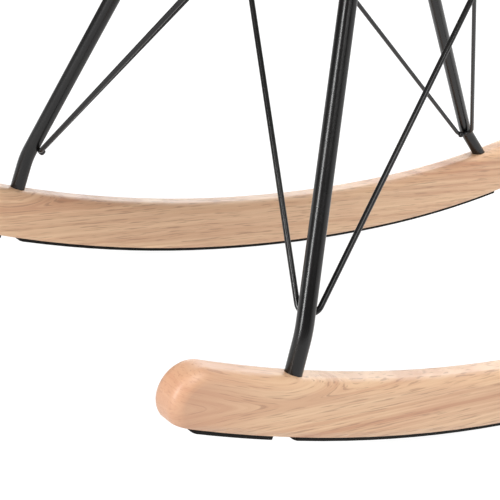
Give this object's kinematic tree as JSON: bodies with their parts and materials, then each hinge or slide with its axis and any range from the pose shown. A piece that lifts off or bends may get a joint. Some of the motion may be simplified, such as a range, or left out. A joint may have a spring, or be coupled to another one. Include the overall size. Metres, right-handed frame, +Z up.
{
  "type": "rocking chair",
  "caption": "Moulded bucket seat with low arms on a welded steel rod base with V-shaped wire braces, standing on two curved wooden rockers",
  "frame": {"origin": "on the floor, on the line where both rockers touch it at rest, midway between the rockers", "axes": "+Z up, the sitter faces -Y, the rockers run along Y, +X is the right-hand rocker seen from the front"},
  "size_m": [0.6056, 0.7396, 0.7182],
  "materials": {
    "rocker_wood": "pale close-grained hardwood under a clear matt lacquer",
    "strip": "black non-slip strip",
    "black_coat": "semi-gloss black powder coat on steel",
    "mount_rubber": "black moulded rubber",
    "shell_plastic": "fine-textured white polypropylene",
    "insert_brass": "plain turned brass",
    "zinc_steel": "zinc-plated steel"
  },
  "bodies": {
    "root": {"brace_front_left": "black_coat", "brace_front_right": "black_coat", "brace_rear_left": "black_coat", "brace_rear_right": "black_coat", "corner_pad_front_left": "black_coat", "corner_pad_front_right": "black_coat", "corner_pad_rear_left": "black_coat", "corner_pad_rear_right": "black_coat", "floor_strip_front_left": "strip", "floor_strip_front_right": "strip", "floor_strip_middle_left": "strip", "floor_strip_middle_right": "strip", "floor_strip_rear_left": "strip", "floor_strip_rear_right": "strip", "leg_front_left": "black_coat", "leg_front_right": "black_coat", "leg_plugs": "zinc_steel", "leg_rear_left": "black_coat", "leg_rear_right": "black_coat", "rocker_bolts": "zinc_steel", "rocker_left": "rocker_wood", "rocker_right": "rocker_wood", "rocker_washers": "zinc_steel", "rubber_mount_front_left": "mount_rubber", "rubber_mount_front_right": "mount_rubber", "rubber_mount_rear_left": "mount_rubber", "rubber_mount_rear_right": "mount_rubber", "seat_inserts": "insert_brass", "seat_screws": "zinc_steel", "seat_shell": "shell_plastic", "seat_washers": "zinc_steel", "top_ring": "black_coat"}
  },
  "joints": []
}
